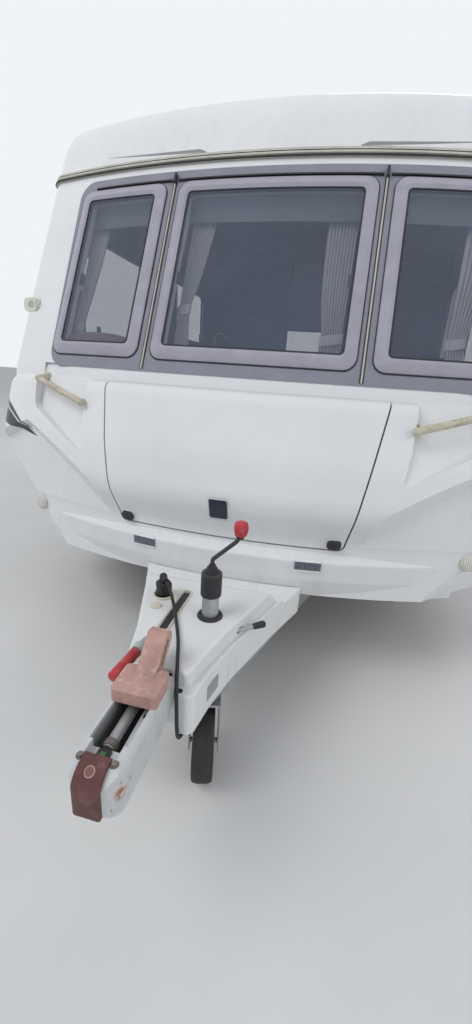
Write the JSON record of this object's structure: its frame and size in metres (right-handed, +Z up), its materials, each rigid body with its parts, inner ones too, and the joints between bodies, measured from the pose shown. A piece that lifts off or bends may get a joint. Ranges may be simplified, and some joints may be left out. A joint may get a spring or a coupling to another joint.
{
  "type": "travel caravan",
  "caption": "Single axle touring caravan with three raked front windows, gas locker lid, A-frame fairing, ball coupling, jockey wheel, corner steadies and entrance door.",
  "frame": {"origin": "on the ground under the middle of the whole length and width", "axes": "+Z up, -Y towards the hitch, +X towards the entrance door side"},
  "size_m": [2.261, 6.084, 2.652],
  "materials": {
    "gloss_white": "glossy warm white moulded panel",
    "white_aluminium": "painted aluminium sheet, satin gloss",
    "mauve_grey": "mauve grey window surround",
    "tinted_pane": "tinted acrylic pane",
    "grey_trim": "cream grey trim",
    "cream_handle": "weathered cream moulding",
    "black_plastic": "black moulding",
    "galvanised": "galvanised steel",
    "black_steel": "black painted steel",
    "cast_white": "white enamelled casting",
    "tyre_rubber": "black tyre rubber",
    "maroon_rubber": "faded maroon rubber",
    "pink_plastic": "sun faded red plastic",
    "red_plastic": "red plastic grip",
    "silver_wheel": "silver painted steel wheel",
    "lamp_lens": "clear and amber lamp lens",
    "red_lens": "red lamp lens",
    "amber_lens": "amber marker lens",
    "wood": "warm brown furniture board",
    "upholstery": "woven upholstery",
    "curtain_cloth": "pale curtain cloth",
    "plywood_floor": "bonded floor panel",
    "cable_rubber": "black cable sheath"
  },
  "bodies": {
    "body": {"axle": "galvanised", "blind_cassettes": "grey_trim", "cable_fittings": "black_plastic", "chassis_rails": "galvanised", "coupling_head": "cast_white", "cross_members": "galvanised", "curtains": "curtain_cloth", "cushions": "upholstery", "drawbar_fittings": "galvanised", "fairing": "gloss_white", "floor": "plywood_floor", "front_lamps": "lamp_lens", "front_panel": "gloss_white", "front_roof_cap": "gloss_white", "front_window_frames": "mauve_grey", "gas_locker": "black_plastic", "grab_handles": "cream_handle", "jockey_crank": "black_steel", "jockey_tube": "galvanised", "kitchen_unit": "wood", "lounge_furniture": "wood", "nearside_wall": "white_aluminium", "offside_wall": "white_aluminium", "rear_furniture": "wood", "rear_lamps": "red_lens", "rear_panel": "gloss_white", "red_grips": "red_plastic", "roof_lights": "gloss_white", "roof_panel": "white_aluminium", "service_hatches": "gloss_white", "side_markers": "amber_lens", "side_skirts": "white_aluminium", "soft_dock": "maroon_rubber", "stabiliser_handle": "pink_plastic", "tow_cable": "cable_rubber", "tow_plug": "black_plastic", "trim_rails": "grey_trim", "wheel_boxes": "black_plastic", "window_panes": "tinted_pane", "window_rings": "black_plastic", "window_surround": "mauve_grey"},
    "locker_lid": {"gas_locker_lid": "gloss_white"},
    "door": {"entrance_door": "white_aluminium", "door_window": "tinted_pane"},
    "nearside_road_wheel": {"nearside_wheel": "silver_wheel", "nearside_tyre": "tyre_rubber"},
    "offside_road_wheel": {"offside_wheel": "silver_wheel", "offside_tyre": "tyre_rubber"},
    "jockey_stem": {"jockey_fork": "galvanised"},
    "jockey_roller": {"jockey_wheel": "tyre_rubber"},
    "steady_front_nearside": {"front_nearside_steady": "galvanised"},
    "steady_front_offside": {"front_offside_steady": "galvanised"},
    "steady_rear_nearside": {"rear_nearside_steady": "galvanised"},
    "steady_rear_offside": {"rear_offside_steady": "galvanised"}
  },
  "joints": [
    {"name": "locker_lid_hinge", "type": "hinge", "parent": "body", "child": "locker_lid", "pos_m": [0, -2.014, 1.112], "axis": [-1, 0, 0], "range_deg": [0, 80]},
    {"name": "door_hinge", "type": "hinge", "parent": "body", "child": "door", "pos_m": [1.139, -0.31, 1.378], "axis": [0, 0, -1], "range_deg": [0, 165]},
    {"name": "nearside_wheel_spin", "type": "hinge", "parent": "body", "child": "nearside_road_wheel", "pos_m": [0.9765, 0.7, 0.322], "axis": [1, 0, 0], "continuous": true},
    {"name": "offside_wheel_spin", "type": "hinge", "parent": "body", "child": "offside_road_wheel", "pos_m": [-0.9765, 0.7, 0.322], "axis": [1, 0, 0], "continuous": true},
    {"name": "jockey_swivel", "type": "hinge", "parent": "body", "child": "jockey_stem", "pos_m": [0.062, -2.5, 0.4], "axis": [0, 0, 1], "continuous": true},
    {"name": "jockey_spin", "type": "hinge", "parent": "jockey_stem", "child": "jockey_roller", "pos_m": [0.08003, -2.56971, 0.112], "axis": [0.9681, 0.2504, 0], "continuous": true},
    {"name": "front_nearside_steady_fold", "type": "hinge", "parent": "body", "child": "steady_front_nearside", "pos_m": [0.77, -0.99, 0.35], "axis": [-1, 0, 0], "range_deg": [0, 44]},
    {"name": "front_offside_steady_fold", "type": "hinge", "parent": "body", "child": "steady_front_offside", "pos_m": [-0.77, -0.99, 0.35], "axis": [-1, 0, 0], "range_deg": [0, 44]},
    {"name": "rear_nearside_steady_fold", "type": "hinge", "parent": "body", "child": "steady_rear_nearside", "pos_m": [0.77, 1.85, 0.35], "axis": [1, 0, 0], "range_deg": [0, 44]},
    {"name": "rear_offside_steady_fold", "type": "hinge", "parent": "body", "child": "steady_rear_offside", "pos_m": [-0.77, 1.85, 0.35], "axis": [1, 0, 0], "range_deg": [0, 44]}
  ]
}
